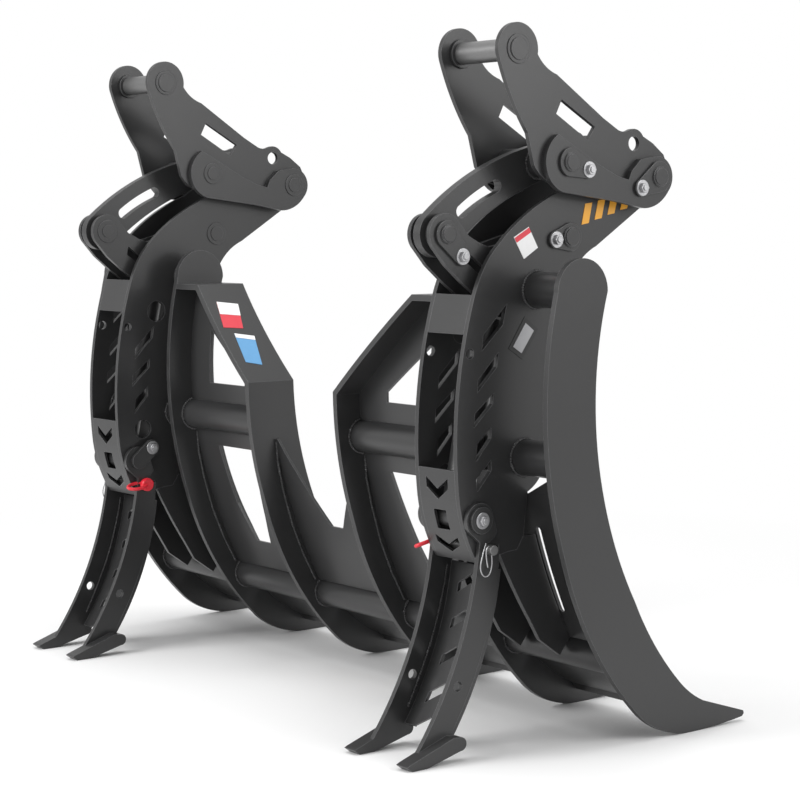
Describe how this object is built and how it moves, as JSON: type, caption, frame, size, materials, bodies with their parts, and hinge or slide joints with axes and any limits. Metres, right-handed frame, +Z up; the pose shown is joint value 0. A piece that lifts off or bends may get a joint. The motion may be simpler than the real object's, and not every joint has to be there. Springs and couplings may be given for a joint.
{
  "type": "log grapple",
  "caption": "Log grapple with six curved tines on cross tubes, two lift uprights with hook ears, links, rockers and cylinders, and fold-up parking legs.",
  "frame": {"origin": "middle of the footprint, on the ground", "axes": "+X across the grapple, +Y towards the tine tips, +Z up"},
  "size_m": [2.1336, 1, 1.7699],
  "materials": {
    "dark_paint": "satin",
    "pin_steel": "satin",
    "polished_rod": "gloss",
    "red_grip": "gloss"
  },
  "bodies": {
    "frame": {"base_pins": "pin_steel", "centre_sheet": "dark_paint", "left_bay_sheet": "dark_paint", "left_inner_tine": "dark_paint", "left_lower_cover": "dark_paint", "left_middle_tine": "dark_paint", "left_middle_tube": "dark_paint", "left_outer_tine": "dark_paint", "left_side_sheet": "dark_paint", "left_spine_ribs": "dark_paint", "left_upper_back_plate": "dark_paint", "left_upper_tube": "dark_paint", "left_upright_inner_plate": "dark_paint", "left_upright_outer_plate": "dark_paint", "low_sheets": "dark_paint", "lower_tube": "dark_paint", "right_bay_sheet": "dark_paint", "right_inner_tine": "dark_paint", "right_lower_cover": "dark_paint", "right_middle_tine": "dark_paint", "right_middle_tube": "dark_paint", "right_outer_tine": "dark_paint", "right_side_sheet": "dark_paint", "right_spine_ribs": "dark_paint", "right_upper_back_plate": "dark_paint", "right_upper_tube": "dark_paint", "right_upright_inner_plate": "dark_paint", "right_upright_outer_plate": "dark_paint", "rocker_pivot_pins": "pin_steel", "toe_bars": "dark_paint"},
    "right_ear": {"right_ear_outer_plate": "dark_paint", "right_ear_inner_plate": "dark_paint", "right_ear_doubler": "dark_paint", "right_ear_gusset": "dark_paint", "right_hook_pin": "pin_steel", "right_ear_pins": "pin_steel"},
    "right_link": {"right_link": "dark_paint"},
    "right_rocker": {"right_rocker": "dark_paint", "right_rocker_pins": "pin_steel"},
    "right_barrel": {"right_cylinder_barrel": "dark_paint"},
    "right_rod": {"right_cylinder_rod": "polished_rod"},
    "right_leg": {"right_leg": "dark_paint"},
    "right_hitch_pin": {"right_hitch_pin": "red_grip"},
    "left_ear": {"left_ear_outer_plate": "dark_paint", "left_ear_inner_plate": "dark_paint", "left_ear_doubler": "dark_paint", "left_ear_gusset": "dark_paint", "left_hook_pin": "pin_steel", "left_ear_pins": "pin_steel"},
    "left_link": {"left_link": "dark_paint"},
    "left_rocker": {"left_rocker": "dark_paint", "left_rocker_pins": "pin_steel"},
    "left_barrel": {"left_cylinder_barrel": "dark_paint"},
    "left_rod": {"left_cylinder_rod": "polished_rod"},
    "left_leg": {"left_leg": "dark_paint"},
    "left_hitch_pin": {"left_hitch_pin": "red_grip"}
  },
  "joints": [
    {"name": "right_ear_tilt", "type": "hinge", "parent": "frame", "child": "right_ear", "pos_m": [0.803, 0.309, 1.404], "axis": [1, 0, 0], "range_deg": [-66.53, 0]},
    {"name": "right_link_swing", "type": "hinge", "parent": "right_ear", "child": "right_link", "pos_m": [0.803, 0.008, 1.438], "axis": [1, 0, 0], "range_deg": [0, 57.54]},
    {"name": "right_rocker_swing", "type": "hinge", "parent": "frame", "child": "right_rocker", "pos_m": [0.803, 0.05, 1.255], "axis": [1, 0, 0], "range_deg": [-60.01, 0]},
    {"name": "right_barrel_swing", "type": "hinge", "parent": "frame", "child": "right_barrel", "pos_m": [0.803, -0.249, 0.575], "axis": [1, 0, 0], "range_deg": [0, 5.44]},
    {"name": "right_rod_slide", "type": "slide", "parent": "right_barrel", "child": "right_rod", "axis": [0, 0.2116, 0.9774], "range_m": [0, 0.21716]},
    {"name": "right_leg_fold", "type": "hinge", "parent": "frame", "child": "right_leg", "pos_m": [0.803, -0.249, 0.575], "axis": [1, 0, 0], "range_deg": [-167, 0]},
    {"name": "right_hitch_pin_spin", "type": "hinge", "parent": "frame", "child": "right_hitch_pin", "pos_m": [0.803, -0.225, 0.502], "axis": [1, 0, 0], "range_deg": [-30, 90]},
    {"name": "left_ear_tilt", "type": "hinge", "parent": "frame", "child": "left_ear", "pos_m": [-0.803, 0.309, 1.404], "axis": [1, 0, 0], "range_deg": [-66.53, 0]},
    {"name": "left_link_swing", "type": "hinge", "parent": "left_ear", "child": "left_link", "pos_m": [-0.803, 0.008, 1.438], "axis": [1, 0, 0], "range_deg": [0, 57.54]},
    {"name": "left_rocker_swing", "type": "hinge", "parent": "frame", "child": "left_rocker", "pos_m": [-0.803, 0.05, 1.255], "axis": [1, 0, 0], "range_deg": [-60.01, 0]},
    {"name": "left_barrel_swing", "type": "hinge", "parent": "frame", "child": "left_barrel", "pos_m": [-0.803, -0.249, 0.575], "axis": [1, 0, 0], "range_deg": [0, 5.44]},
    {"name": "left_rod_slide", "type": "slide", "parent": "left_barrel", "child": "left_rod", "axis": [0, 0.2116, 0.9774], "range_m": [0, 0.21716]},
    {"name": "left_leg_fold", "type": "hinge", "parent": "frame", "child": "left_leg", "pos_m": [-0.803, -0.249, 0.575], "axis": [1, 0, 0], "range_deg": [-167, 0]},
    {"name": "left_hitch_pin_spin", "type": "hinge", "parent": "frame", "child": "left_hitch_pin", "pos_m": [-0.803, -0.225, 0.502], "axis": [1, 0, 0], "range_deg": [-30, 90]}
  ],
  "couplings": [
    {"joint": "right_link_swing", "follows": "right_ear_tilt", "ratio": -0.86479},
    {"joint": "right_rocker_swing", "follows": "right_ear_tilt", "ratio": 0.90191},
    {"joint": "right_barrel_swing", "follows": "right_ear_tilt", "ratio": -0.081579},
    {"joint": "right_rod_slide", "follows": "right_ear_tilt", "m_per_rad": -0.18694},
    {"joint": "left_ear_tilt", "follows": "right_ear_tilt", "ratio": 1},
    {"joint": "left_link_swing", "follows": "right_ear_tilt", "ratio": -0.86479},
    {"joint": "left_rocker_swing", "follows": "right_ear_tilt", "ratio": 0.90191},
    {"joint": "left_barrel_swing", "follows": "right_ear_tilt", "ratio": -0.081579},
    {"joint": "left_rod_slide", "follows": "right_ear_tilt", "m_per_rad": -0.18694}
  ]
}
